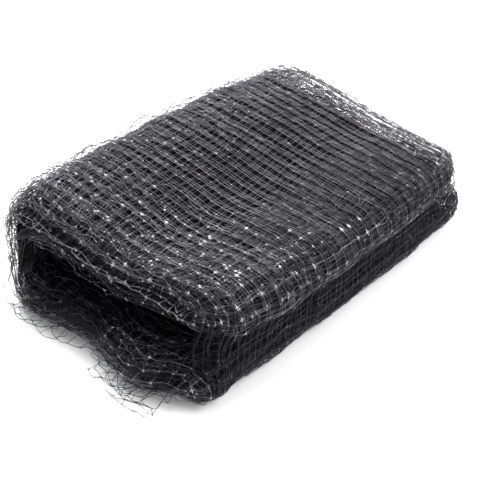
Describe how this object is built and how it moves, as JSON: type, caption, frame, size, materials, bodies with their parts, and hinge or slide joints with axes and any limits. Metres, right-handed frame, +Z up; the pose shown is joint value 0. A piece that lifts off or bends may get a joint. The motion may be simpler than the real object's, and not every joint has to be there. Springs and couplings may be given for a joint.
{
  "type": "folded bird netting",
  "caption": "Fine black bird net gathered into a thick hank and folded in half: a U of pressed mesh layers with a hollow inside the bend.",
  "frame": {"origin": "under the middle of the bundle, on the surface that it lies on", "axes": "+X from the bend towards the two halves' rounded ends, +Y along the bend towards the bundle's tidy back end, +Z up"},
  "size_m": [0.2626, 0.37, 0.1083],
  "materials": {
    "net": "fine glossy black plastic strands with small knots at each crossing, many see-through layers"
  },
  "bodies": {
    "root": {"netting": "net"}
  },
  "joints": []
}
